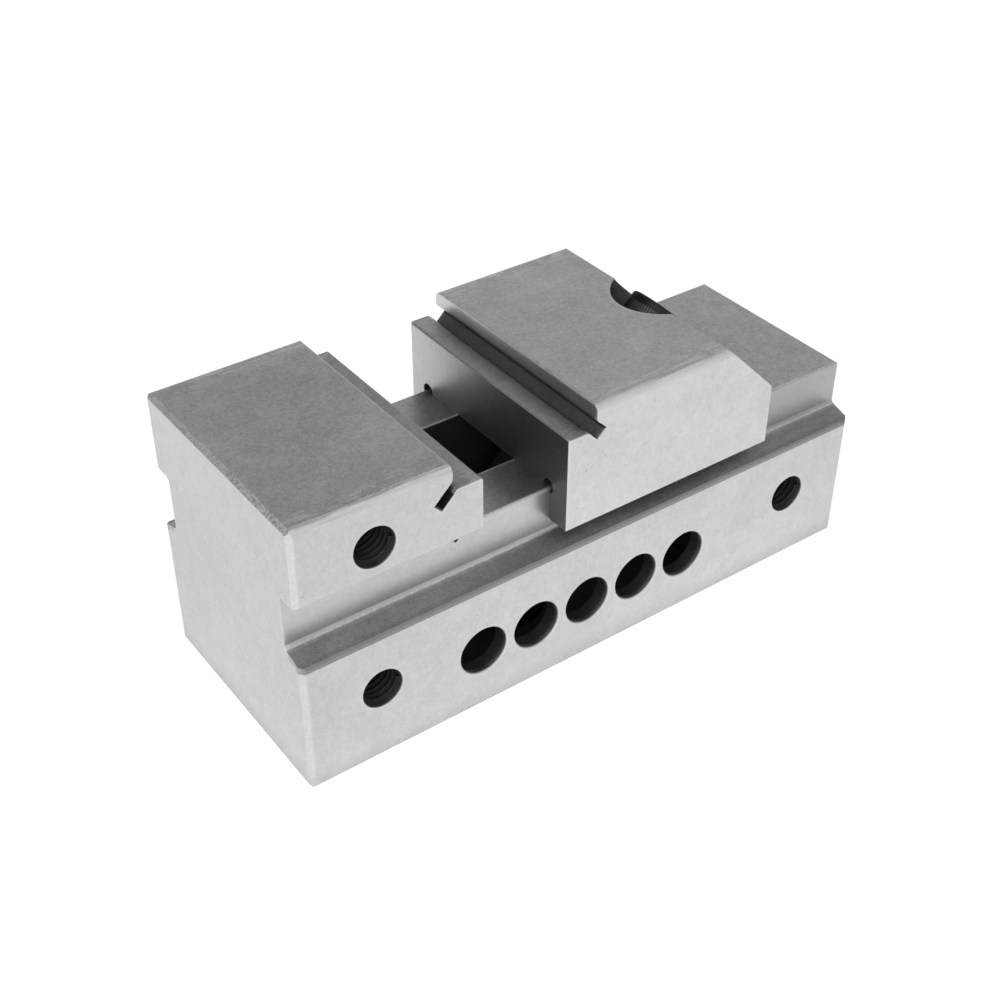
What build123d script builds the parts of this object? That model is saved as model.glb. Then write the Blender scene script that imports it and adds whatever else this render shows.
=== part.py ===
from build123d import *
import math
import os

# Precision machine vise of the screwless, pull-down kind, jaws open as it stands on the bench.
# Millimetres. X runs from the fixed jaw towards the open end of the rail, Z is up,
# and the origin is the middle of the foot.

# The ground block: foot, guide rail and fixed jaw
BODY_LENGTH = 128.5
BODY_WIDTH = 50.0
JAW_TOP = 57.2
RAIL_WIDTH = 40.0
RAIL_TOP = 39.4
FIXED_JAW_LENGTH = 37.1

# Clamping groove along each side; its floor rises towards the rail
GROOVE_LIP = 28.3
GROOVE_RISE = 1.6
GROOVE_CEILING = 41.3
GROOVE_FLOOR_RADIUS = 1.0
GROOVE_CEILING_RADIUS = 1.1
CEILING_EDGE_RADIUS = 0.8

# Step ground across the top of each jaw
STEP_LENGTH = 6.1
STEP_DROP = 4.95
STEP_EDGE_RADIUS = 0.4

# Slanted relief slots in the inside corners of the steps
FIXED_RELIEF_WIDTH = 2.1
FIXED_RELIEF_DEPTH = 3.3
FIXED_RELIEF_SETBACK = 0.5
MOVING_RELIEF_WIDTH = 2.6
MOVING_RELIEF_DEPTH = 1.4
RELIEF_MOUTH_RADIUS = 1.2

# Narrower relief in the corner between the fixed jaw's face and the rail
HEEL_RELIEF_WIDTH = 1.0
HEEL_RELIEF_DEPTH = 3.6

# Outside edges
LONG_EDGE_RADIUS = 1.5
END_EDGE_BEVEL = 0.9
FOOT_BEVEL = 0.6
FINE_BEVEL = 0.3

# Moving jaw, an inverted U on the rail
MOVING_JAW_LENGTH = 50.0
SKIRT_BOTTOM = 32.3
GUIDE_CLEARANCE = 0.02
CHANNEL_RELIEF_RADIUS = 1.5
CHANNEL_RELIEF_INSET = 0.7
SLOPE_FOOT = 5.0

# Jaw travel
REST_OPENING = 18.3
MAX_OPENING = 40.0

# Clamp screw, which meets the slope at a right angle: an M8 socket head screw
HEAD_PROUD = 0.5
HEAD_DIAMETER = 13.0
HEAD_HEIGHT = 8.0
HEAD_BEVEL = 0.6
SOCKET_ACROSS_FLATS = 6.0
SOCKET_DEPTH = 4.0
SCREW_DIAMETER = 8.0
SCREW_LENGTH = 40.0
THREAD_PITCH = 1.25
TIP_BEVEL = 1.0
THREAD_CLEARANCE = 0.05

# Ball washer under the head, and its seat in the jaw
WASHER_DIAMETER = 13.5
WASHER_BORE = 8.4
WASHER_RIM = 0.9
BALL_RADIUS = 12.0
SEAT_CLEARANCE = 0.05
SEAT_BORE_CLEARANCE = 0.65
COUNTERBORE_DIAMETER = 22.0
COUNTERBORE_DEPTH = 5.0
COUNTERBORE_LAND = 0.1
SHANK_HOLE_DIAMETER = 10.0
SCREW_SWING = 2.0

# Cross holes, whose upper parts are the notches that the cross pin pulls into
CROSS_HOLE_DIAMETER = 10.0
CROSS_HOLE_HEIGHT = 13.3
CROSS_HOLE_PITCH = 12.0
FIRST_HOLE_LEAD = 0.1
NOTCH_DEPTH = 2.5

# Draw link and cross pin
LINK_THICKNESS = 13.0
LINK_WIDTH = 17.0
LINK_ENGAGEMENT = 12.8
LINK_BEVEL = 1.0
PIN_DIAMETER = 9.6
PIN_LENGTH = 32.0
PIN_BEVEL = 0.8
PIN_SEAT_CLEARANCE = 0.01
DRAW_TURNS = 2.5
LAND_CLEARANCE = 0.2

# Pocket under the foot, with the window and slot above it for the link and the screw
POCKET_WALL = 3.5
POCKET_CLEARANCE = 1.3
POCKET_CORNER_RADIUS = 5.0
WINDOW_SETBACK = 4.6
SLOT_CLEARANCE = 0.5
SLOT_CORNER_RADIUS = 3.0

# Tapped holes in the sides, for work stops and clamps
TAPPED_DIAMETER = 8.0
TAP_DRILL_DIAMETER = 6.8
TAPPED_DEPTH = 12.0
TAP_DRILL_DEPTH = 14.0
TAPPED_BEVEL = 0.15
DRILL_POINT_HALF_ANGLE = 59.0
TAPPED_END_DISTANCE = 15.5
TAPPED_FOOT_HEIGHT = 16.0
TAPPED_JAW_HEIGHT = 47.5

# Places along the block, worked out from the sizes above
DIAGONAL = math.sqrt(0.5)
FIXED_END = -BODY_LENGTH / 2
OPEN_END = BODY_LENGTH / 2
JAW_FACE = FIXED_END + FIXED_JAW_LENGTH
STEP_LEDGE = JAW_TOP - STEP_DROP
MOVING_FACE = JAW_FACE + REST_OPENING
MOVING_REAR = MOVING_FACE + MOVING_JAW_LENGTH
JAW_SLOPE = JAW_TOP - RAIL_TOP - SLOPE_FOOT
TO_CLOSED = -REST_OPENING
TO_OPEN = MAX_OPENING - REST_OPENING
SLOT_WIDTH = LINK_WIDTH + 2 * SLOT_CLEARANCE
POCKET_WIDTH = BODY_WIDTH - 2 * POCKET_WALL

# The screw's own frame: its origin is where the axis meets the slope, Z points out of the jaw
# and X points down the slope. The counterbore stops just short of the slope's lower edge
SCREW_INSET = COUNTERBORE_DIAMETER / 2 + COUNTERBORE_LAND
MOUTH_X = MOVING_REAR - SCREW_INSET * DIAGONAL
MOUTH_Z = RAIL_TOP + SLOPE_FOOT + SCREW_INSET * DIAGONAL
SCREW_PLANE = Plane(origin=(MOUTH_X, 0, MOUTH_Z), x_dir=(1, 0, -1), z_dir=(1, 0, 1))
HEAD_UNDERSIDE = HEAD_PROUD - HEAD_HEIGHT
SCREW_TIP = HEAD_UNDERSIDE - SCREW_LENGTH
WASHER_TOP = HEAD_UNDERSIDE - SEAT_CLEARANCE
WASHER_EDGE = WASHER_TOP - WASHER_RIM
BALL_CENTRE = WASHER_EDGE + math.sqrt(BALL_RADIUS**2 - (WASHER_DIAMETER / 2) ** 2)

# Heights of the pocket and the pin. Fully drawn, the free pin stops just under the lands
# between the notches
POCKET_ROOF = CROSS_HOLE_HEIGHT + CROSS_HOLE_DIAMETER / 2 - NOTCH_DEPTH
DRAW_TRAVEL = DRAW_TURNS * THREAD_PITCH
PIN_HEIGHT = POCKET_ROOF - LAND_CLEARANCE - PIN_DIAMETER / 2 - DRAW_TRAVEL * DIAGONAL
PIN_DEPTH = (MOUTH_Z - PIN_HEIGHT) / DIAGONAL
PIN_X = MOUTH_X - PIN_DEPTH * DIAGONAL
LINK_TOP = SCREW_TIP + LINK_ENGAGEMENT

# Cross holes: one more than the travel needs, so that the pin finds a notch at every opening
FIRST_HOLE = JAW_FACE + FIRST_HOLE_LEAD
HOLE_COUNT = math.floor(MAX_OPENING / CROSS_HOLE_PITCH) + 2
LAST_HOLE = FIRST_HOLE + (HOLE_COUNT - 1) * CROSS_HOLE_PITCH


def mirrored(half):
    """Both halves of an outline that is drawn on one side of the middle only."""
    return half + mirror(half, about=Plane.YZ)


def rounded(outline, point, radius):
    """The outline with the corner at a point rounded."""
    return fillet(outline.vertices().sort_by_distance(point)[0], radius)


def bevelled(outline, point, size):
    """The outline with the corner at a point cut off."""
    return chamfer(outline.vertices().sort_by_distance(point)[0], size)


def filled(points):
    """A flat face inside a closed run of straight lines."""
    return make_face(Polyline(*points, close=True))


def prism(outline, plane, width):
    """An outline drawn on a plane, extruded to both sides of it."""
    return plane * extrude(outline, amount=width / 2, both=True)


def relief(corner, direction, width, depth):
    """Outline of a slanted relief slot that starts in an inside corner."""
    strip = Pos(0, (width - depth) / 2) * Rectangle(width, depth + width)
    return Pos(*corner) * Rot(0, 0, direction) * strip


def round_bore(radius, depth, bevel):
    """A bore that opens upwards at the origin, as the solid to cut."""
    outline = filled(
        [(0, bevel), (radius + 2 * bevel, bevel), (radius, -bevel), (radius, -depth), (0, -depth)]
    )
    return revolve(Plane.XZ * outline, Axis.Z)


def tapped_bore():
    """A tapped hole with its narrower drilled end, as the solid to cut."""
    drill = TAP_DRILL_DIAMETER / 2
    point = drill / math.tan(math.radians(DRILL_POINT_HALF_ANGLE))
    drilled_end = filled([(0, 0), (drill, 0), (drill, -TAP_DRILL_DEPTH), (0, -TAP_DRILL_DEPTH - point)])
    return round_bore(TAPPED_DIAMETER / 2, TAPPED_DEPTH, TAPPED_BEVEL) + revolve(
        Plane.XZ * drilled_end, Axis.Z
    )


def into_both_sides(cutter, x, z):
    """A cutter set into the near and the far side of the vise, square to them."""
    near = Pos(x, -BODY_WIDTH / 2, z) * Rot(90, 0, 0) * cutter
    return near + mirror(near, about=Plane.XZ)


def body_section():
    """Cross-section of the block through the fixed jaw, with the side grooves."""
    side = BODY_WIDTH / 2
    rail = RAIL_WIDTH / 2
    groove_floor = GROOVE_LIP + GROOVE_RISE
    half = filled(
        [
            (0, 0),
            (side, 0),
            (side, GROOVE_LIP),
            (rail, groove_floor),
            (rail, GROOVE_CEILING),
            (side, GROOVE_CEILING),
            (side, JAW_TOP),
            (0, JAW_TOP),
        ]
    )
    half = bevelled(half, (side, 0), FOOT_BEVEL)
    half = bevelled(half, (side, GROOVE_LIP), FINE_BEVEL)
    half = rounded(half, (rail, groove_floor), GROOVE_FLOOR_RADIUS)
    half = rounded(half, (rail, GROOVE_CEILING), GROOVE_CEILING_RADIUS)
    half = rounded(half, (side, GROOVE_CEILING), CEILING_EDGE_RADIUS)
    half = rounded(half, (side, JAW_TOP), LONG_EDGE_RADIUS)
    return mirrored(half)


def body_side():
    """Side outline of the block: foot, rail and stepped fixed jaw with its two reliefs."""
    step = JAW_FACE - STEP_LENGTH
    outline = filled(
        [
            (FIXED_END, 0),
            (OPEN_END, 0),
            (OPEN_END, RAIL_TOP),
            (JAW_FACE, RAIL_TOP),
            (JAW_FACE, STEP_LEDGE),
            (step, STEP_LEDGE),
            (step, JAW_TOP),
            (FIXED_END, JAW_TOP),
        ]
    )
    outline = bevelled(outline, (FIXED_END, 0), FOOT_BEVEL)
    outline = bevelled(outline, (OPEN_END, 0), FOOT_BEVEL)
    outline = bevelled(outline, (OPEN_END, RAIL_TOP), FINE_BEVEL)
    outline = bevelled(outline, (JAW_FACE, STEP_LEDGE), FINE_BEVEL)
    outline = rounded(outline, (step, JAW_TOP), STEP_EDGE_RADIUS)
    outline = bevelled(outline, (FIXED_END, JAW_TOP), END_EDGE_BEVEL)
    start = step - FIXED_RELIEF_SETBACK
    outline -= relief((start, STEP_LEDGE), -45, FIXED_RELIEF_WIDTH, FIXED_RELIEF_DEPTH)
    outline -= relief((JAW_FACE, RAIL_TOP), -45, HEEL_RELIEF_WIDTH, HEEL_RELIEF_DEPTH)
    mouth = FIXED_RELIEF_WIDTH * DIAGONAL
    outline = rounded(outline, (start + mouth, STEP_LEDGE), RELIEF_MOUTH_RADIUS)
    return rounded(outline, (step, STEP_LEDGE + step - start + mouth), RELIEF_MOUTH_RADIUS)


def body_plan():
    """The block from above, with its four upright edges bevelled."""
    outline = Rectangle(BODY_LENGTH, BODY_WIDTH)
    return chamfer(outline.vertices(), END_EDGE_BEVEL)


def pocket():
    """Pocket under the rail, where the cross pin travels and catches."""
    link_left = PIN_X + TO_CLOSED - LINK_THICKNESS / 2
    link_right = swung_x(LINK_THICKNESS / 2, POCKET_ROOF) + TO_OPEN
    left = link_left - POCKET_CLEARANCE
    right = max(link_right, LAST_HOLE + CROSS_HOLE_DIAMETER) + POCKET_CLEARANCE
    outline = Pos((left + right) / 2, 0) * Rectangle(right - left, POCKET_WIDTH)
    outline = fillet(outline.vertices(), POCKET_CORNER_RADIUS)
    return extrude(outline, amount=POCKET_ROOF)


def swung_x(offset, height):
    """Where a line beside the screw's axis crosses a height, with the screw swung over at rest."""
    steepness = math.radians(45 + SCREW_SWING)
    centre_x = MOUTH_X + BALL_CENTRE * DIAGONAL
    centre_z = MOUTH_Z + BALL_CENTRE * DIAGONAL
    along = (centre_z - height - offset * math.cos(steepness)) / math.sin(steepness)
    return centre_x - along * math.cos(steepness) + offset * math.sin(steepness)


def window():
    """Window through the rail with its slanted lower end, for the screw and the link."""
    left = JAW_FACE + WINDOW_SETBACK
    right = swung_x(SCREW_DIAMETER / 2, RAIL_TOP) + TO_OPEN + SLOT_CLEARANCE
    # The slant runs beside the closed link's upper face
    slant = MOUTH_X - MOUTH_Z + TO_CLOSED - (LINK_THICKNESS / 2 + 2 * SLOT_CLEARANCE) / DIAGONAL
    roof = POCKET_ROOF
    opening = prism(
        filled(
            [
                (slant + roof, roof),
                (right, roof),
                (right, RAIL_TOP),
                (left, RAIL_TOP),
                (left, left - slant),
            ]
        ),
        Plane.XZ,
        SLOT_WIDTH,
    )
    upright = opening.edges().filter_by(Axis.Z).filter_by(lambda e: abs(e.center().Y) > 1)
    return fillet(upright, SLOT_CORNER_RADIUS)


def body():
    """Foot, guide rail and fixed jaw, ground from one block of tool steel."""
    block = prism(body_side(), Plane.XZ, BODY_WIDTH)
    block &= prism(body_section(), Plane.YZ, BODY_LENGTH)
    block &= extrude(body_plan(), amount=JAW_TOP)
    rail_edges = block.edges().filter_by(Axis.X).filter_by(
        lambda e: abs(e.center().Z - RAIL_TOP) < FINE_BEVEL and e.center().X > JAW_FACE
    )
    block = chamfer(rail_edges, FINE_BEVEL)
    block -= pocket()
    block -= window()
    through = round_bore(CROSS_HOLE_DIAMETER / 2, BODY_WIDTH / 2, FINE_BEVEL)
    for index in range(HOLE_COUNT):
        x = FIRST_HOLE + index * CROSS_HOLE_PITCH
        block -= into_both_sides(through, x, CROSS_HOLE_HEIGHT)
    for x in (FIXED_END + TAPPED_END_DISTANCE, OPEN_END - TAPPED_END_DISTANCE):
        block -= into_both_sides(tapped_bore(), x, TAPPED_FOOT_HEIGHT)
    block -= into_both_sides(tapped_bore(), FIXED_END + TAPPED_END_DISTANCE, TAPPED_JAW_HEIGHT)
    return block


def moving_jaw_section():
    """Cross-section of the moving jaw: an inverted U with round corner reliefs."""
    side = BODY_WIDTH / 2
    channel = RAIL_WIDTH / 2 + GUIDE_CLEARANCE
    half = filled(
        [
            (0, RAIL_TOP),
            (channel, RAIL_TOP),
            (channel, SKIRT_BOTTOM),
            (side, SKIRT_BOTTOM),
            (side, JAW_TOP),
            (0, JAW_TOP),
        ]
    )
    half = bevelled(half, (side, SKIRT_BOTTOM), FINE_BEVEL)
    half = bevelled(half, (channel, SKIRT_BOTTOM), FINE_BEVEL)
    half = rounded(half, (side, JAW_TOP), LONG_EDGE_RADIUS)
    half -= Pos(channel - CHANNEL_RELIEF_INSET, RAIL_TOP) * Circle(CHANNEL_RELIEF_RADIUS)
    return mirrored(half)


def moving_jaw_side():
    """Side outline of the moving jaw: step and relief in front, slope for the screw behind."""
    step = MOVING_FACE + STEP_LENGTH
    outline = filled(
        [
            (MOVING_FACE, SKIRT_BOTTOM),
            (MOVING_REAR, SKIRT_BOTTOM),
            (MOVING_REAR, RAIL_TOP + SLOPE_FOOT),
            (MOVING_REAR - JAW_SLOPE, JAW_TOP),
            (step, JAW_TOP),
            (step, STEP_LEDGE),
            (MOVING_FACE, STEP_LEDGE),
        ]
    )
    outline = bevelled(outline, (MOVING_REAR, SKIRT_BOTTOM), FINE_BEVEL)
    outline = bevelled(outline, (MOVING_FACE, STEP_LEDGE), FINE_BEVEL)
    outline = rounded(outline, (step, JAW_TOP), STEP_EDGE_RADIUS)
    outline -= relief((step, STEP_LEDGE), 45, MOVING_RELIEF_WIDTH, MOVING_RELIEF_DEPTH)
    mouth = MOVING_RELIEF_WIDTH * DIAGONAL
    outline = rounded(outline, (step - mouth, STEP_LEDGE), RELIEF_MOUTH_RADIUS)
    return rounded(outline, (step, STEP_LEDGE + mouth), RELIEF_MOUTH_RADIUS)


def moving_jaw_plan():
    """The moving jaw from above, with fine bevels at its face and wider ones behind."""
    centre = (MOVING_FACE + MOVING_REAR) / 2
    outline = Pos(centre, 0) * Rectangle(MOVING_JAW_LENGTH, BODY_WIDTH)
    for y in (-BODY_WIDTH / 2, BODY_WIDTH / 2):
        outline = bevelled(outline, (MOVING_FACE, y), FINE_BEVEL)
        outline = bevelled(outline, (MOVING_REAR, y), END_EDGE_BEVEL)
    return outline


def screw_passage():
    """Counterbore, ball seat and shank hole along the screw's axis, as the solid to cut."""
    seat_bore = WASHER_DIAMETER / 2 + SEAT_BORE_CLEARANCE
    ball = BALL_RADIUS + SEAT_CLEARANCE
    hole = SHANK_HOLE_DIAMETER / 2
    above_slope = BODY_WIDTH / 2
    below_channel = -(MOUTH_Z - RAIL_TOP) / DIAGONAL - SHANK_HOLE_DIAMETER
    seat_edge = BALL_CENTRE - math.sqrt(ball**2 - seat_bore**2)
    counterbore = Pos(0, 0, -COUNTERBORE_DEPTH) * Cylinder(
        COUNTERBORE_DIAMETER / 2, COUNTERBORE_DEPTH + above_slope, align=(Align.CENTER, Align.CENTER, Align.MIN)
    )
    seat_wall = Pos(0, 0, seat_edge) * Cylinder(
        seat_bore, -seat_edge, align=(Align.CENTER, Align.CENTER, Align.MIN)
    )
    seat_zone = Pos(0, 0, seat_edge) * Cylinder(
        seat_bore, ball, align=(Align.CENTER, Align.CENTER, Align.MAX)
    )
    seat = seat_zone & (Pos(0, 0, BALL_CENTRE) * Sphere(ball))
    shank = Pos(0, 0, below_channel) * Cylinder(
        hole, -below_channel, align=(Align.CENTER, Align.CENTER, Align.MIN)
    )
    return counterbore + seat_wall + seat + shank


def moving_jaw():
    """Inverted-U jaw that slides on the rail and carries the clamp screw."""
    jaw = prism(moving_jaw_side(), Plane.XZ, BODY_WIDTH)
    jaw &= prism(moving_jaw_section(), Plane.YZ, 2 * (BODY_LENGTH + MAX_OPENING))
    jaw &= extrude(moving_jaw_plan(), amount=JAW_TOP)
    return jaw - SCREW_PLANE * screw_passage()


def clamp_screw():
    """M8 socket head cap screw, its thread drawn as a plain shank."""
    head = HEAD_DIAMETER / 2
    shank = SCREW_DIAMETER / 2
    outline = filled(
        [
            (0, HEAD_PROUD),
            (head, HEAD_PROUD),
            (head, HEAD_UNDERSIDE),
            (shank, HEAD_UNDERSIDE),
            (shank, SCREW_TIP),
            (0, SCREW_TIP),
        ]
    )
    outline = bevelled(outline, (head, HEAD_PROUD), HEAD_BEVEL)
    outline = bevelled(outline, (shank, SCREW_TIP), TIP_BEVEL)
    screw = revolve(Plane.XZ * outline, Axis.Z)
    hexagon = RegularPolygon(SOCKET_ACROSS_FLATS / 2, 6, major_radius=False)
    socket = Pos(0, 0, HEAD_PROUD - SOCKET_DEPTH) * extrude(hexagon, amount=SOCKET_DEPTH)
    return SCREW_PLANE * (screw - socket)


def ball_washer():
    """Hardened washer with a ball-shaped underside, free to tilt in the jaw's seat."""
    rim = WASHER_DIAMETER / 2
    blank = Pos(0, 0, WASHER_TOP) * Cylinder(
        rim, BALL_RADIUS, align=(Align.CENTER, Align.CENTER, Align.MAX)
    )
    washer = blank & (Pos(0, 0, BALL_CENTRE) * Sphere(BALL_RADIUS))
    washer -= Pos(0, 0, WASHER_TOP) * Cylinder(
        WASHER_BORE / 2, 2 * BALL_RADIUS, align=(Align.CENTER, Align.CENTER, Align.CENTER)
    )
    return SCREW_PLANE * washer


def draw_link():
    """Tapped block in the rail's slot that carries the cross pin in its rounded end."""
    half = LINK_THICKNESS / 2
    length = PIN_DEPTH + LINK_TOP
    shape = Pos(0, -length / 2) * Rectangle(LINK_THICKNESS, length) + Pos(0, -length) * Circle(half)
    link = Pos(0, 0, LINK_TOP) * prism(shape, Plane.XZ, LINK_WIDTH)
    long_edges = link.edges().filter_by(Axis.Z)
    top_edges = link.faces().sort_by(Axis.Z)[-1].edges()
    link = chamfer(long_edges + top_edges, LINK_BEVEL)
    thread = round_bore(SCREW_DIAMETER / 2 + THREAD_CLEARANCE, length, FINE_BEVEL)
    link -= Pos(0, 0, LINK_TOP) * thread
    pin_bore = Cylinder(PIN_DIAMETER / 2 + PIN_SEAT_CLEARANCE, 2 * LINK_WIDTH)
    link -= Pos(0, 0, -PIN_DEPTH) * Rot(90, 0, 0) * pin_bore
    return SCREW_PLANE * link


def cross_pin():
    """Hardened pin, held in the link, that bears in the notches on both sides of the slot."""
    pin = Cylinder(PIN_DIAMETER / 2, PIN_LENGTH)
    pin = chamfer(pin.edges().filter_by(GeomType.CIRCLE), PIN_BEVEL)
    return Pos(PIN_X, 0, PIN_HEIGHT) * Rot(90, 0, 0) * pin


os.makedirs("parts", exist_ok=True)
for make in (body, moving_jaw, clamp_screw, ball_washer, draw_link, cross_pin):
    export_step(make(), f"parts/{make.__name__}.step")
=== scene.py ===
import bpy
import math
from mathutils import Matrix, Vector


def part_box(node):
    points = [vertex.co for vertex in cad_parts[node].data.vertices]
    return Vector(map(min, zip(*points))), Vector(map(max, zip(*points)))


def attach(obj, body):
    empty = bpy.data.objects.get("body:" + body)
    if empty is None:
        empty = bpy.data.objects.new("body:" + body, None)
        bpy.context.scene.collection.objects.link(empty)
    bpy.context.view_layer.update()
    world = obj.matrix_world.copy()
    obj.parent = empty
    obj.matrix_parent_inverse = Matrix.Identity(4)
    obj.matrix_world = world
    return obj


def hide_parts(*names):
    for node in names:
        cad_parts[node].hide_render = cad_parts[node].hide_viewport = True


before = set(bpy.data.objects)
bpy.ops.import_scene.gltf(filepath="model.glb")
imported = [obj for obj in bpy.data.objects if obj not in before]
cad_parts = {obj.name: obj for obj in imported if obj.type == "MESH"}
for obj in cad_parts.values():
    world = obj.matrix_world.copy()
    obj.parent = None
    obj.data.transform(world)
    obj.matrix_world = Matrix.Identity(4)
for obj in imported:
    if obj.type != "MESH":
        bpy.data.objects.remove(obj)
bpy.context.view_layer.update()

# ---- Ground block: foot, guide rail and fixed jaw ----
# One piece of hardened tool steel, ground all over, with edges stoned bright. Its holes, pocket, window and
# slanted reliefs are painted dark as shade, painted shade darkens the side grooves and the sides of the rail,
# and the step is painted a little darker. Places in its material are in millimetres.
MM = 0.001
side_holes = (("foot_fixed_end", -48.75, 16.0), ("foot_open_end", 48.75, 16.0), ("fixed_jaw", -48.75, 47.5))


def shader_node(tree, kind, values=None, **settings):
    """Adds one shader node. values sets its sockets, by name or number."""
    made = tree.nodes.new(kind)
    for name, value in settings.items():
        setattr(made, name, value)
    for socket, value in (values or {}).items():
        if isinstance(value, bpy.types.NodeSocket):
            tree.links.new(value, made.inputs[socket])
        else:
            made.inputs[socket].default_value = value
    return made


def math_step(tree, operation, first, second=0.0, third=0.0):
    """One step of arithmetic in a material."""
    values = {0: first, 1: second, 2: third}
    return shader_node(tree, "ShaderNodeMath", values, operation=operation).outputs[0]


def vector_step(tree, operation, first, second=(0, 0, 0)):
    """One step of arithmetic with vectors in a material."""
    return shader_node(tree, "ShaderNodeVectorMath", {0: first, 1: second}, operation=operation).outputs


def parts_of(tree, vector):
    """The x, y and z of a vector."""
    return shader_node(tree, "ShaderNodeSeparateXYZ", {0: vector}).outputs


def blend_values(tree, factor, low, high):
    """A number that goes from low to high with the factor."""
    values = {"Factor": factor, 2: low, 3: high}
    return shader_node(tree, "ShaderNodeMix", values, data_type="FLOAT").outputs[0]


def ramp(tree, value, start, end, low=0.0, high=1.0):
    """A number that goes from low to high while the value goes from start to end."""
    values = {"Value": value, 1: start, 2: end, 3: low, 4: high}
    return shader_node(tree, "ShaderNodeMapRange", values).outputs[0]


def grain(tree, place, stretch, detail=3.0):
    """Noise drawn out along one direction, in features per metre."""
    turned = shader_node(tree, "ShaderNodeMapping", {"Vector": place, "Scale": stretch})
    values = {"Vector": turned.outputs[0], "Scale": 1.0, "Detail": detail, "Roughness": 0.6}
    return shader_node(tree, "ShaderNodeTexNoise", values).outputs[0]


def size_of(tree, value):
    """A value without its sign."""
    return math_step(tree, "ABSOLUTE", value)


def above(tree, value, limit):
    """1 where a value is greater than the limit."""
    return math_step(tree, "GREATER_THAN", value, limit)


def below(tree, value, limit):
    """1 where a value is less than the limit."""
    return math_step(tree, "LESS_THAN", value, limit)


def all_of(tree, *masks):
    """The product of masks: 1 where every one of them is 1."""
    result = masks[0]
    for mask in masks[1:]:
        result = math_step(tree, "MULTIPLY", result, mask)
    return result


def any_of(tree, *masks):
    """The greatest of masks: 1 where any one of them is 1."""
    result = masks[0]
    for mask in masks[1:]:
        result = math_step(tree, "MAXIMUM", result, mask)
    return result


def within(tree, *ranges):
    """1 where each value lies within half of its centre, for ranges of (value, centre, half)."""
    return all_of(tree, *[math_step(tree, "COMPARE", *numbers) for numbers in ranges])


def darkest(tree, *places):
    """The greatest darkness of places that are given as (mask, darkness)."""
    return any_of(tree, *[all_of(tree, mask, darkness) for mask, darkness in places])


def near_axis(tree, first, second, at, radius):
    """1 within a radius of an axis that is square to both coordinates."""
    across = math_step(tree, "POWER", math_step(tree, "SUBTRACT", first, at[0]), 2.0)
    along = math_step(tree, "POWER", math_step(tree, "SUBTRACT", second, at[1]), 2.0)
    return below(tree, math_step(tree, "ADD", across, along), radius ** 2)


def steel_material(name):
    """A new material, its node tree, its shader, and the coordinates of its surface."""
    made = bpy.data.materials.new(name)
    made.use_nodes = True
    tree = made.node_tree
    shader = tree.nodes["Principled BSDF"]
    shader.inputs["Metallic"].default_value = 1.0
    return made, tree, shader, shader_node(tree, "ShaderNodeTexCoord").outputs


def set_surface(tree, shader, tone, blue, roughness, normal):
    """Gives the shader a grey tone with a faint blue cast, a roughness and a surface normal."""
    bluer = math_step(tree, "MULTIPLY", tone, blue)
    colour = shader_node(tree, "ShaderNodeCombineColor", {0: tone, 1: tone, 2: bluer}).outputs[0]
    for socket, value in (("Base Color", colour), ("Roughness", roughness), ("Normal", normal)):
        tree.links.new(value, shader.inputs[socket])


def bump(tree, height, normal, strength, depth):
    """A surface normal with the fine relief of a pattern on it."""
    values = {"Height": height, "Normal": normal, "Strength": strength, "Distance": depth}
    return shader_node(tree, "ShaderNodeBump", values).outputs[0]


def edge_wear(tree, radius):
    """A rounded normal along the edges, and a mask that is 1 on them."""
    rounded = shader_node(tree, "ShaderNodeBevel", {"Radius": radius}, samples=6).outputs[0]
    surface = shader_node(tree, "ShaderNodeNewGeometry").outputs["True Normal"]
    facing = vector_step(tree, "DOT_PRODUCT", rounded, surface)["Value"]
    return rounded, ramp(tree, facing, 0.995, 0.93)


def corner_shade(tree, reach, depth):
    """1 on open faces, falling to 1 - depth in inside corners: painted shade."""
    open_share = shader_node(tree, "ShaderNodeAmbientOcclusion", {"Distance": reach}, samples=6).outputs["AO"]
    return ramp(tree, open_share, 0.35, 0.95, 1 - depth, 1.0)


def beveled_edge(tree, facing, x, y, z):
    """1 on the bevels and rounded edges at the outside of the vise, and 0 on its flat faces."""
    near_end, near_side, near_top = 63.2, 24.0, 55.9
    square_on = [above(tree, size_of(tree, part), 0.985) for part in parts_of(tree, facing)]
    slanted = math_step(tree, "SUBTRACT", 1.0, any_of(tree, *square_on))
    at_end, at_side = above(tree, size_of(tree, x), near_end), above(tree, size_of(tree, y), near_side)
    return all_of(tree, slanted, any_of(tree, at_end, at_side, above(tree, z, near_top)))


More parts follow.
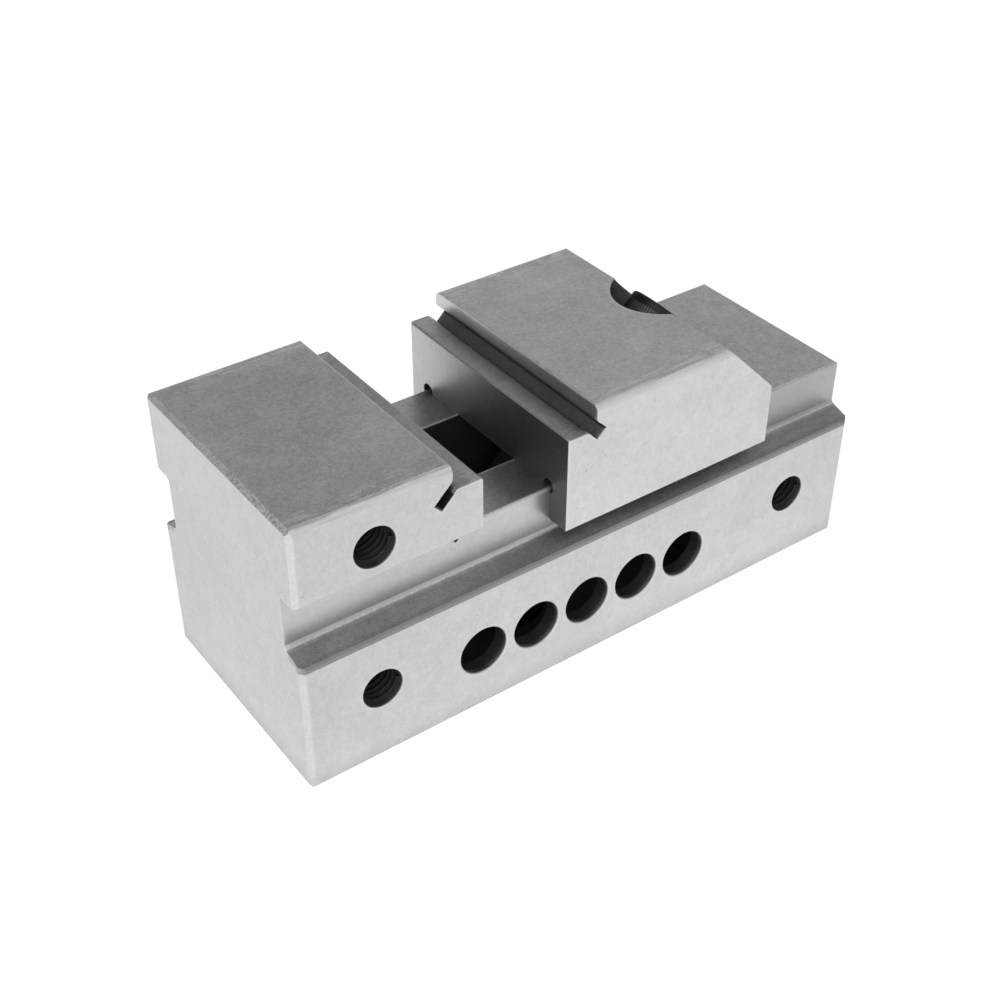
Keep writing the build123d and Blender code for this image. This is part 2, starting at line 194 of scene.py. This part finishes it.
def ground_steel(name, base, painted_shade_of):
    """Ground tool steel of a base tone. Its last argument gives 1 where painted shade makes it black, and 0
    where it is clean.
    """
    made, tree, shader, source = steel_material(name)
    place = source["Object"]
    x, y, z = parts_of(tree, vector_step(tree, "MULTIPLY", place, (1000, 1000, 1000))[0])
    upward = parts_of(tree, source["Normal"])[2]
    level = above(tree, size_of(tree, upward), 0.7)

    # The marks of the wheel run upright on the sides and lengthwise on the level faces.
    upright_marks = grain(tree, place, (3200, 3200, 420))
    marks = blend_values(tree, level, upright_marks, grain(tree, place, (700, 3000, 3000)))
    streaks = grain(tree, place, (130, 2600, 2600), 2.0)
    cloud = grain(tree, place, (55, 55, 55), 4.0)
    blotch = grain(tree, place, (310, 310, 310))
    mottle = grain(tree, place, (1100, 1100, 1100), 2.0)
    speckle = grain(tree, place, (3600, 3600, 3600), 2.0)
    flecks = above(tree, grain(tree, place, (1500, 1500, 1500), 1.0), 0.72)
    flecks = all_of(tree, flecks, above(tree, upward, 0.3))
    pits = above(tree, grain(tree, place, (900, 1100, 1000), 1.0), 0.755)

    # Scratches lie beside the top edges, and the outer edges are stoned, least at the lips of the grooves.
    beside_edge = all_of(tree, ramp(tree, size_of(tree, y), 19.5, 23.5), above(tree, z, 50.0), level)
    scratches = all_of(tree, ramp(tree, streaks, 0.50, 0.58), beside_edge, above(tree, blotch, 0.45))
    normal, worn = edge_wear(tree, 0.25 * MM)
    stoned = any_of(tree, edge_wear(tree, 1.1 * MM)[1], beveled_edge(tree, source["Normal"], x, y, z))
    groove_lip = blend_values(tree, within(tree, (z, 28.3, 1.7)), 1.0, 0.25)
    stoned = all_of(tree, stoned, ramp(tree, streaks, 0.38, 0.56, 0.45, 1.0), groove_lip)

    # Each pattern swings the tone up and down, more on the level faces, and each mark covers it in part.
    unevenness = blend_values(tree, level, 0.9, 2.0)
    swings = (
        (cloud, 0.17),
        (blotch, 0.10),
        (speckle, 0.27),
        (mottle, 0.16),
        (marks, blend_values(tree, level, 0.08, 0.02)),
    )
    covers = (
        (flecks, 0.35, 0.85),
        (pits, 0.25, 0.2),
        (scratches, 0.75, 0.92),
        (stoned, 0.8, 0.80),
        (worn, blend_values(tree, blotch, 0.1, 0.9), 0.76),
    )
    tone = base
    for pattern, swing in swings:
        from_middle = math_step(tree, "SUBTRACT", pattern, 0.5)
        tone = math_step(tree, "MULTIPLY_ADD", from_middle, all_of(tree, unevenness, swing), tone)
    for mask, share, cover_tone in covers:
        tone = blend_values(tree, all_of(tree, mask, share), tone, cover_tone)
    # Painted shade: the tone darkens in inside corners.
    tone = all_of(tree, tone, corner_shade(tree, 5 * MM, 0.28))
    # Painted shade: where the mask says so, the tone falls towards near black.
    dark = painted_shade_of(tree, x, y, z)
    tone = blend_values(tree, dark, tone, blend_values(tree, speckle, 0.02, 0.18))

    roughness = math_step(tree, "MULTIPLY_ADD", marks, 0.10, blend_values(tree, cloud, 0.25, 0.37))
    roughness = blend_values(tree, stoned, roughness, 0.68)
    roughness = blend_values(tree, dark, roughness, 0.55)
    relief = bump(tree, speckle, normal, 0.5, 0.006 * MM)
    relief = bump(tree, marks, relief, blend_values(tree, level, 0.4, 0.15), 0.006 * MM)
    set_surface(tree, shader, tone, 1.008, roughness, relief)
    return made


def block_painted_shade(tree, x, y, z):
    """Painted shade in the holes, pocket, window and reliefs of the block and on its grooves and rail sides,
    and a darker step.
    """
    width = size_of(tree, y)
    inside = below(tree, width, 24.97)

    # Five cross holes in a row, six tapped holes, the pocket under the rail and the window in its top.
    first_hole, hole_pitch, hole_height = -27.05, 12.0, 13.3
    row = within(tree, (x, first_hole + 2 * hole_pitch, 2.5 * hole_pitch))
    repeated = math_step(tree, "ADD", x, hole_pitch / 2 - first_hole)
    repeated = math_step(tree, "FLOORED_MODULO", repeated, hole_pitch)
    repeated = math_step(tree, "SUBTRACT", repeated, hole_pitch / 2)
    cross = all_of(tree, inside, row, near_axis(tree, repeated, z, (0, hole_height), 5.12))
    tapped = [near_axis(tree, x, z, (hole_x, hole_z), 4.12) for _, hole_x, hole_z in side_holes]
    tapped = all_of(tree, inside, any_of(tree, *tapped))
    pocket = within(tree, (x, -2.1, 34.5), (y, 0, 21.6), (z, 8.0, 7.9))
    window = within(tree, (x, 1.0, 49.0), (y, 0, 9.05), (z, 27.0, 12.1))

    # The slanted reliefs behind the step and at the heel of the fixed jaw.
    across = math_step(tree, "SUBTRACT", x, z)
    along = math_step(tree, "ADD", x, z)
    step_relief = within(tree, (across, -86.0, 1.55), (along, 15.9, 2.5))
    heel_relief = within(tree, (across, -66.55, 0.75), (along, 9.5, 2.7))

    # Painted shade on the groove floors and their lips and on the sides of the rail, where it grows towards
    # the open end, and a darker step.
    groove_floor = within(tree, (width, 22.55, 1.45), (z, 28.9, 0.9))
    groove_lip = within(tree, (width, 24.2, 0.8), (z, 27.95, 0.75))
    step = all_of(tree, inside, within(tree, (x, -30.2, 3.0), (z, 52.25, 0.1)))
    rail_side = within(tree, (width, 20.1, 0.3), (z, 34.6, 4.7))
    # Painted shade: hollows near black, grooves and rail sides darker; the step is darker by a quarter.
    return darkest(
        tree,
        (cross, blend_values(tree, above(tree, width, 23.9), 0.95, 0.72)),
        (tapped, 0.85),
        (pocket, 0.35),
        (window, 0.80),
        (step_relief, 1.0),
        (heel_relief, 1.0),
        (groove_floor, 0.25),
        (groove_lip, ramp(tree, width, 23.4, 24.9, 0.25, 0.62)),
        (step, 0.25),
        (rail_side, ramp(tree, x, 18.0, 44.0, 0.0, 0.3)),
    )


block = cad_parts["body"]
block.data.materials[0] = ground_steel("ground_block_steel", 0.60, block_painted_shade)

# ---- Moving jaw ----
# An inverted U of the same ground steel. The counterbore for the screw head, the round reliefs in the corners
# of its channel and the slanted relief at its step are painted dark as shade. Its face carries a painted
# reflection, in which it mirrors the dark window, and its step is painted a little darker.
mouth_x, mouth_z = 33.300, 52.250


def jaw_painted_shade(tree, x, y, z):
    """Painted shade in the counterbore and reliefs of the moving jaw, a painted reflection on its face, and a
    darker step.
    """
    width = size_of(tree, y)
    face, step_height = -8.80, 52.25

    # The counterbore is round about the screw's axis, which slants down at 45 degrees from its mouth.
    from_axis = math_step(tree, "SUBTRACT", x, mouth_x)
    from_axis = math_step(tree, "SUBTRACT", from_axis, math_step(tree, "SUBTRACT", z, mouth_z))
    from_axis = math_step(tree, "MULTIPLY", from_axis, math.sqrt(0.5))
    bore = all_of(tree, near_axis(tree, from_axis, y, (0, 0), 11.03), above(tree, z, 39.45))
    channel = all_of(tree, above(tree, x, face), near_axis(tree, width, z, (19.32, 39.4), 1.53))

    along = math_step(tree, "ADD", x, z)
    across = math_step(tree, "SUBTRACT", x, z)
    step_relief = within(tree, (along, 49.5, 1.95), (across, -53.95, 1.3))
    shaded_inner_corner = above(tree, along, 50.8)
    step = within(tree, (x, -5.8, 3.0), (y, 0, 24.97), (z, step_height, 0.1))
    front = all_of(tree, below(tree, x, face), below(tree, z, step_height - 0.05))
    # Painted shade: near black in the counterbore and reliefs, darkest in the step relief's inner corner; a
    # painted reflection darkens the face towards the near side; the step is a fifth darker.
    return darkest(
        tree,
        (bore, 0.86),
        (channel, 1.0),
        (step_relief, blend_values(tree, shaded_inner_corner, 0.72, 1.0)),
        (step, 0.2),
        (front, ramp(tree, y, 25.0, -12.0, 0.12, 0.86)),
    )


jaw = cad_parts["moving_jaw"]
jaw.data.materials[0] = ground_steel("moving_jaw_steel", 0.64, jaw_painted_shade)

# ---- Clamp screw ----
# An M8 socket head cap screw of blackened steel, with a knurled head and a rolled thread. It pulls the
# link up, and its head sits on the ball washer in the jaw's slope. It is made upright, with the point
# where its axis meets the slope at the origin, and then turned into its place.
head_top = 0.5 * MM
head_height = 8.0 * MM
head_radius = 6.5 * MM
head_foot = head_top - head_height
screw_end = head_foot - 40.0 * MM
m8_pitch = 1.25 * MM
screw_mouth = (mouth_x * MM, 0, mouth_z * MM)


def start_piece():
    """Leaves nothing selected and edit mode closed, ready for a new primitive."""
    if bpy.context.object and bpy.context.object.mode != "OBJECT":
        bpy.ops.object.mode_set(mode="OBJECT")
    bpy.ops.object.select_all(action="DESELECT")


def new_piece(name):
    """Names the primitive that was just added."""
    piece = bpy.context.object
    piece.name = name
    piece.data.name = name
    return piece


def new_cylinder(name, vertices, radius, depth, middle):
    """An upright cylinder about the z axis, with the height of its middle in its mesh."""
    start_piece()
    size = {"vertices": vertices, "radius": radius, "depth": depth}
    bpy.ops.mesh.primitive_cylinder_add(location=(0, 0, middle), **size)
    piece = new_piece(name)
    bpy.ops.object.transform_apply(location=True, rotation=False, scale=False)
    return piece


def start_selection(piece, kind):
    """Enters and leaves edit mode with nothing selected, ready to select faces or edges in code."""
    bpy.ops.object.mode_set(mode="EDIT")
    bpy.ops.mesh.select_mode(type=kind)
    bpy.ops.mesh.select_all(action="DESELECT")
    bpy.ops.object.mode_set(mode="OBJECT")


def select_faces(piece, test):
    """Selects in edit mode only the faces whose centre and normal pass the test."""
    start_selection(piece, "FACE")
    for face in piece.data.polygons:
        face.select = test(face.center, face.normal)
    bpy.ops.object.mode_set(mode="EDIT")


def select_edges(piece, test):
    """Selects in edit mode only the edges whose two ends pass the test."""
    start_selection(piece, "EDGE")
    points = piece.data.vertices
    for edge in piece.data.edges:
        edge.select = test(points[edge.vertices[0]].co, points[edge.vertices[1]].co)
    bpy.ops.object.mode_set(mode="EDIT")


def bevel_rim(piece, height, width, segments):
    """Bevels the edges that lie level at one height."""
    select_edges(piece, lambda a, b: abs(a.z - height) < 1e-6 and abs(b.z - height) < 1e-6)
    bpy.ops.mesh.bevel(offset=width, segments=segments)
    bpy.ops.object.mode_set(mode="OBJECT")


def apply_modifier(piece, kind, **settings):
    """Adds one modifier and applies it."""
    added = piece.modifiers.new(kind.lower(), kind)
    for name, value in settings.items():
        setattr(added, name, value)
    bpy.context.view_layer.objects.active = piece
    bpy.ops.object.modifier_apply(modifier=added.name)


def cut_away(piece, cutter):
    """Cuts one closed piece out of another and removes the cutter."""
    apply_modifier(piece, "BOOLEAN", operation="DIFFERENCE", object=cutter, solver="EXACT")
    bpy.data.objects.remove(cutter)


def join_pieces(pieces, name):
    """Joins pieces into the first one."""
    start_piece()
    for piece in pieces:
        piece.select_set(True)
    bpy.context.view_layer.objects.active = pieces[0]
    bpy.ops.object.join()
    return new_piece(name)


def set_in_place(piece, location, turn):
    """Turns and moves a piece that was made upright at the origin, and fixes that in its mesh."""
    start_piece()
    piece.select_set(True)
    bpy.context.view_layer.objects.active = piece
    piece.location = location
    piece.rotation_euler = turn
    bpy.ops.object.transform_apply(location=True, rotation=True, scale=True)


def thread_ridge(name, root, crest, low, high, pitch):
    """A helical ridge that stands from its root radius to its crest radius, between two heights."""
    root_share, crest_share, steps = 0.86, 0.16, 40
    start_piece()
    middle = ((root + crest) / 2, 0, low + pitch / 2)
    bpy.ops.mesh.primitive_plane_add(size=1, location=middle, rotation=(math.pi / 2, 0, 0))
    ridge = new_piece(name)
    ridge.scale = (abs(crest - root), root_share * pitch, 1)
    bpy.ops.object.transform_apply(location=True, rotation=True, scale=True)
    select_edges(ridge, lambda a, b: abs(a.x - crest) < 1e-6 and abs(b.x - crest) < 1e-6)
    bpy.ops.transform.resize(value=(1, 1, crest_share))
    bpy.ops.mesh.select_all(action="SELECT")
    bpy.ops.mesh.delete(type="ONLY_FACE")
    bpy.ops.object.mode_set(mode="OBJECT")
    helix = {"axis": "Z", "angle": 2 * math.pi, "screw_offset": pitch, "steps": steps, "render_steps": steps}
    apply_modifier(ridge, "SCREW", iterations=int((high - low - pitch) / pitch), **helix)
    bpy.ops.object.mode_set(mode="EDIT")
    bpy.ops.mesh.select_mode(type="EDGE")
    bpy.ops.mesh.select_all(action="DESELECT")
    bpy.ops.mesh.select_non_manifold()
    bpy.ops.mesh.fill_holes(sides=0)
    bpy.ops.mesh.select_all(action="SELECT")
    bpy.ops.mesh.normals_make_consistent(inside=False)
    bpy.ops.object.mode_set(mode="OBJECT")
    return ridge


# The head: a cylinder cut across where the knurl starts and where it has its full depth.
knurl_top = head_top - 1.5 * MM
knurl_foot = head_foot + 0.6 * MM
knurl_run_out = 0.4 * MM
knurl_grooves = 72
knurl_depth = 0.016 * head_radius
head = new_cylinder("screw_head", 3 * knurl_grooves, head_radius, head_height, head_top - head_height / 2)
for height in (knurl_top, knurl_foot, knurl_top - knurl_run_out, knurl_foot + knurl_run_out):
    bpy.ops.object.mode_set(mode="EDIT")
    bpy.ops.mesh.select_all(action="SELECT")
    bpy.ops.mesh.bisect(plane_co=(0, 0, height), plane_no=(0, 0, 1))
    bpy.ops.object.mode_set(mode="OBJECT")


def in_knurl(point):
    """Whether a point lies on the knurled part of the head and on one of its grooves."""
    turn = math.atan2(point.y, point.x) / (2 * math.pi)
    groove = round(turn * 3 * knurl_grooves) % 3 == 0
    high, low = knurl_top - knurl_run_out / 2, knurl_foot + knurl_run_out / 2
    return groove and low < point.z < high and point.xy.length > head_radius * 0.9


select_edges(head, lambda a, b: in_knurl(a) and in_knurl(b))
groove_size = 1 - knurl_depth / head_radius
bpy.ops.transform.resize(value=(groove_size, groove_size, 1))
bevel_rim(head, head_top, 0.55 * MM, 4)
bevel_rim(head, head_foot, 0.2 * MM, 1)

# The hex socket with the point that its drill left, and the bevel round its mouth.
socket_depth = 4.0 * MM
socket_radius = 3.0 * MM / math.cos(math.pi / 6)
start_piece()
socket_place = {"location": (0, 0, head_top), "rotation": (0, 0, math.pi / 6)}
bpy.ops.mesh.primitive_cylinder_add(vertices=6, radius=socket_radius, depth=2 * socket_depth, **socket_place)
socket = new_piece("socket_cutter")
select_faces(socket, lambda centre, normal: normal.z < -0.9)
bpy.ops.mesh.inset(thickness=0.5 * MM)
bpy.ops.mesh.extrude_region_move(TRANSFORM_OT_translate={"value": (0, 0, -1.3 * MM)})
bpy.ops.mesh.merge(type="CENTER")
bpy.ops.object.mode_set(mode="OBJECT")
bpy.ops.object.transform_apply(location=True, rotation=True, scale=True)
cut_away(head, socket)
start_piece()
lead_in_size = {"radius1": 0, "radius2": 3.9 * MM, "depth": 1.6 * MM}
bpy.ops.mesh.primitive_cone_add(vertices=48, location=(0, 0, head_top - 0.55 * MM), **lead_in_size)
lead_in = new_piece("socket_lead_in")
bpy.ops.object.transform_apply(location=True, rotation=True, scale=True)
cut_away(head, lead_in)

# The core, the plain shank below the head, and the rolled thread. Core and shank start inside the head.
thread_root = 3.32 * MM
thread_crest = 3.97 * MM
shank_length = 12.6 * MM
inside_head = 0.05 * MM
core_middle = (head_foot + screw_end) / 2 + inside_head
core = new_cylinder("screw_core", 64, thread_root, head_foot - screw_end, core_middle)
select_edges(core, lambda a, b: abs(a.z - screw_end) < 0.1 * MM and abs(b.z - screw_end) < 0.1 * MM)
bpy.ops.mesh.bevel(offset=0.6 * MM, segments=2)
bpy.ops.object.mode_set(mode="OBJECT")
shank_middle = head_foot - shank_length / 2 + inside_head
shank = new_cylinder("screw_shank", 64, thread_crest, shank_length, shank_middle)
select_edges(shank, lambda a, b: abs(a.z - b.z) < 1e-7 and a.z < head_foot - 10 * MM)
bpy.ops.mesh.bevel(offset=0.6 * MM, segments=3)
bpy.ops.object.mode_set(mode="OBJECT")
thread_ends = (screw_end + 0.5 * MM, head_foot - 12.0 * MM)
ridge = thread_ridge("screw_thread", thread_root - 0.06 * MM, thread_crest, *thread_ends, m8_pitch)
clamp_screw = join_pieces([head, core, shank, ridge], "cap_screw")
set_in_place(clamp_screw, screw_mouth, (0, math.pi / 4, 0))
bpy.ops.object.shade_smooth_by_angle(angle=math.radians(42))


def oxide_and_painted_shade_steel(name, low, high):
    """Dark grey steel, faintly blotched and rubbed bright along the edges: black oxide on the screw, and
    painted shade on the threads in the side holes.
    """
    made, tree, shader, source = steel_material(name)
    cloud = grain(tree, source["Object"], (420, 420, 420))
    fine = grain(tree, source["Object"], (5200, 5200, 5200), 2.0)
    normal, worn = edge_wear(tree, 0.12 * MM)
    tone = blend_values(tree, all_of(tree, worn, cloud, 0.7), blend_values(tree, cloud, low, high), 0.34)
    roughness = blend_values(tree, cloud, 0.50, 0.64)
    set_surface(tree, shader, tone, 1.05, roughness, bump(tree, fine, normal, 0.3, 0.006 * MM))
    return made


clamp_screw.data.materials.clear()
clamp_screw.data.materials.append(oxide_and_painted_shade_steel("blackened_screw_steel", 0.025, 0.055))
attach(clamp_screw, "clamp_screw")
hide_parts("clamp_screw")

# ---- Ball washer ----
# A turned and hardened washer with a ball-shaped underside, so that the screw can tilt in the jaw.
# The fine rings of turning run about the screw's axis.


def turned_steel(name, middle, axis, low, high, roughness):
    """Turned steel with fine rings about an axis through the middle."""
    made, tree, shader, source = steel_material(name)
    moved = vector_step(tree, "SUBTRACT", source["Object"], middle)[0]
    along = vector_step(tree, "DOT_PRODUCT", moved, axis)["Value"]
    outward = vector_step(tree, "CROSS_PRODUCT", moved, axis)[0]
    radius = vector_step(tree, "LENGTH", outward)["Value"]
    rings = shader_node(tree, "ShaderNodeCombineXYZ", {0: along, 1: radius}).outputs[0]
    marks = grain(tree, rings, (9000, 9000, 1))
    cloud = grain(tree, source["Object"], (300, 300, 300), 2.0)
    normal, worn = edge_wear(tree, 0.1 * MM)
    tone = blend_values(tree, marks, low, high)
    tone = math_step(tree, "ADD", tone, blend_values(tree, cloud, -0.04, 0.04))
    tone = blend_values(tree, worn, tone, 0.75)
    roughness = blend_values(tree, marks, roughness - 0.06, roughness + 0.06)
    set_surface(tree, shader, tone, 1.0, roughness, bump(tree, marks, normal, 0.4, 0.004 * MM))
    return made


slant = (math.sqrt(0.5), 0, math.sqrt(0.5))
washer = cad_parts["ball_washer"]
washer.data.materials[0] = turned_steel("hardened_washer_steel", screw_mouth, slant, 0.40, 0.52, 0.26)

# ---- Draw link ----
# A milled block in the rail's slot, tapped for the screw at its upper end and rounded round the pin at its
# lower end. Its near-black tone is painted shade, and the milling marks run along it.


def milled_steel(name):
    """Hardened steel with cutter marks along the slanted length of the link."""
    made, tree, shader, source = steel_material(name)
    slanted = {"Vector": source["Object"], "Rotation": (0, -math.pi / 4, 0)}
    marks = grain(tree, shader_node(tree, "ShaderNodeMapping", slanted).outputs[0], (1500, 1500, 120), 4.0)
    cloud = grain(tree, source["Object"], (160, 160, 160), 2.0)
    normal, worn = edge_wear(tree, 0.15 * MM)
    # Painted shade: the link's tone is kept near black.
    tone = blend_values(tree, marks, 0.035, 0.07)
    tone = math_step(tree, "ADD", tone, blend_values(tree, cloud, -0.015, 0.015))
    tone = blend_values(tree, worn, tone, 0.22)
    roughness = blend_values(tree, marks, 0.30, 0.44)
    set_surface(tree, shader, tone, 1.01, roughness, bump(tree, marks, normal, 0.5, 0.01 * MM))
    return made


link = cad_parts["draw_link"]
link.data.materials[0] = milled_steel("milled_link_steel")

# ---- Cross pin ----
# A hardened, centreless-ground pin through the link. It hangs just under the notches of the pocket's
# roof, in which its ends bear when the screw is tight.
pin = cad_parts["cross_pin"]
pin_middle = (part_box("cross_pin")[0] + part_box("cross_pin")[1]) / 2
pin.data.materials[0] = turned_steel("hardened_pin_steel", tuple(pin_middle), (0, 1, 0), 0.46, 0.58, 0.18)

# ---- Threads in the side holes ----
# The six M8 holes for work stops and strap clamps, tapped in the block itself:
# a fine helical ridge stands inwards from the wall of each hole.
hole_thread_root = 4.03 * MM
hole_thread_crest = 3.40 * MM
hole_thread_ends = (-11.9 * MM, -0.5 * MM)

first_thread = thread_ridge("side_thread", hole_thread_root, hole_thread_crest, *hole_thread_ends, m8_pitch)
# Painted shade: the threads in the holes get a near-black tone.
first_thread.data.materials.append(oxide_and_painted_shade_steel("painted_shade_hole_thread_steel", 0.02, 0.045))
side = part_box("body")[1].y
for name, x, z in side_holes:
    for direction, which in ((-1, "near"), (1, "far")):
        thread = first_thread.copy()
        thread.data = first_thread.data.copy()
        thread.name = f"{which}_thread_{name}"
        bpy.context.scene.collection.objects.link(thread)
        set_in_place(thread, (x * MM, direction * side, z * MM), (-direction * math.pi / 2, 0, 0))
        bpy.ops.object.shade_smooth_by_angle(angle=math.radians(40))
        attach(thread, "body")
bpy.data.objects.remove(first_thread)

# ---- Floor ----
# Plain white studio floor. It glows softly for the camera and for mirror images, has a painted shadow under
# the vise, a dark patch without glow, and keeps the vise's own shadow as well.
camera_glow = 0.62
mirror_glow = 0.47
floor_albedo = 0.85
painted_shadow_albedo = 0.06
under_length = 0.0630
under_width = 0.0238

start_piece()
bpy.ops.mesh.primitive_plane_add(size=6, location=(0, 0, -0.02 * MM))
floor = new_piece("studio_floor")
bpy.ops.object.transform_apply(location=True, rotation=False, scale=False)
floor_finish = bpy.data.materials.new("pale_floor")
floor_finish.use_nodes = True
floor_tree = floor_finish.node_tree
floor_shader = floor_tree.nodes["Principled BSDF"]
floor_shader.inputs["Roughness"].default_value = 0.9
floor_shader.inputs["Specular IOR Level"].default_value = 0.0
floor_shader.inputs["Emission Color"].default_value = (1, 1, 1, 1)
ray = shader_node(floor_tree, "ShaderNodeLightPath").outputs
mirrored = any_of(floor_tree, ray["Is Glossy Ray"], ray["Is Transmission Ray"])
glow = all_of(floor_tree, ray["Is Camera Ray"], camera_glow)
glow = math_step(floor_tree, "MULTIPLY_ADD", mirrored, mirror_glow, glow)
spot = parts_of(floor_tree, shader_node(floor_tree, "ShaderNodeTexCoord").outputs["Object"])
# Painted shadow: the floor under the vise is dark and does not glow.
under = within(floor_tree, (spot[0], 0, under_length), (spot[1], 0, under_width))
glow = all_of(floor_tree, glow, math_step(floor_tree, "SUBTRACT", 1.0, under))
floor_tree.links.new(glow, floor_shader.inputs["Emission Strength"])
floor_tone = blend_values(floor_tree, under, floor_albedo, painted_shadow_albedo)
floor_greys = {channel: floor_tone for channel in range(3)}
floor_colour = shader_node(floor_tree, "ShaderNodeCombineColor", floor_greys).outputs[0]
floor_tree.links.new(floor_colour, floor_shader.inputs["Base Color"])
floor.data.materials.append(floor_finish)

# ---- Light ----
# A broad soft lamp at the near left and a dim room. The room is paler towards the right, where the vise's
# level faces mirror it, has a pale screen at the near right, which the rounded edges mirror, and is white
# where the camera sees it.
lamp_place = Vector((-0.95, -0.75, 1.0))
lamp_target = Vector((0, 0, 0.03))
dim_room = 0.095

start_piece()
bpy.ops.object.light_add(type="AREA", location=lamp_place)
lamp = bpy.context.object
lamp.name = "near_left_lamp"
lamp.data.size = 1.8
lamp.data.energy = 20.0
lamp.rotation_euler = (lamp_target - lamp_place).to_track_quat("-Z", "Y").to_euler()
room = bpy.data.worlds.new("studio_room")
room.use_nodes = True
room_tree = room.node_tree
direction = shader_node(room_tree, "ShaderNodeTexCoord").outputs["Generated"]


def paler_towards(aim, start, full, rise):
    """The light that one pale side of the room adds, from the start to the full cosine of the angle to it."""
    cosine = vector_step(room_tree, "DOT_PRODUCT", direction, aim)["Value"]
    return ramp(room_tree, cosine, start, full, 0.0, rise)


right_side = paler_towards((0.72, 0.69, 0.05), 0.40, 0.95, 0.45)
near_right_screen = paler_towards((0.50, -0.62, 0.60), 0.77, 0.94, 0.75)
room_light = math_step(room_tree, "ADD", right_side, dim_room)
room_light = math_step(room_tree, "ADD", room_light, near_right_screen)
seen = shader_node(room_tree, "ShaderNodeLightPath").outputs["Is Camera Ray"]
room_light = any_of(room_tree, room_light, seen)
room_tree.links.new(room_light, room_tree.nodes["Background"].inputs["Color"])
room_tree.nodes["Background"].inputs["Strength"].default_value = 1.0
bpy.context.scene.world = room

# ---- Camera ----
# At the photograph's place: above the fixed jaw's near corner, with a 56 mm lens on a 36 mm frame.
camera_turn = [math.radians(angle) for angle in (53.075, -0.1685, -35.951)]
bpy.ops.object.camera_add(location=(-0.14783, -0.19544, 0.20461), rotation=camera_turn)
camera = bpy.context.object
camera.data.sensor_width = 36
camera.data.lens = 55.697
camera.data.clip_start = 0.01
bpy.context.scene.camera = camera
bpy.context.scene.view_settings.view_transform = "Standard"
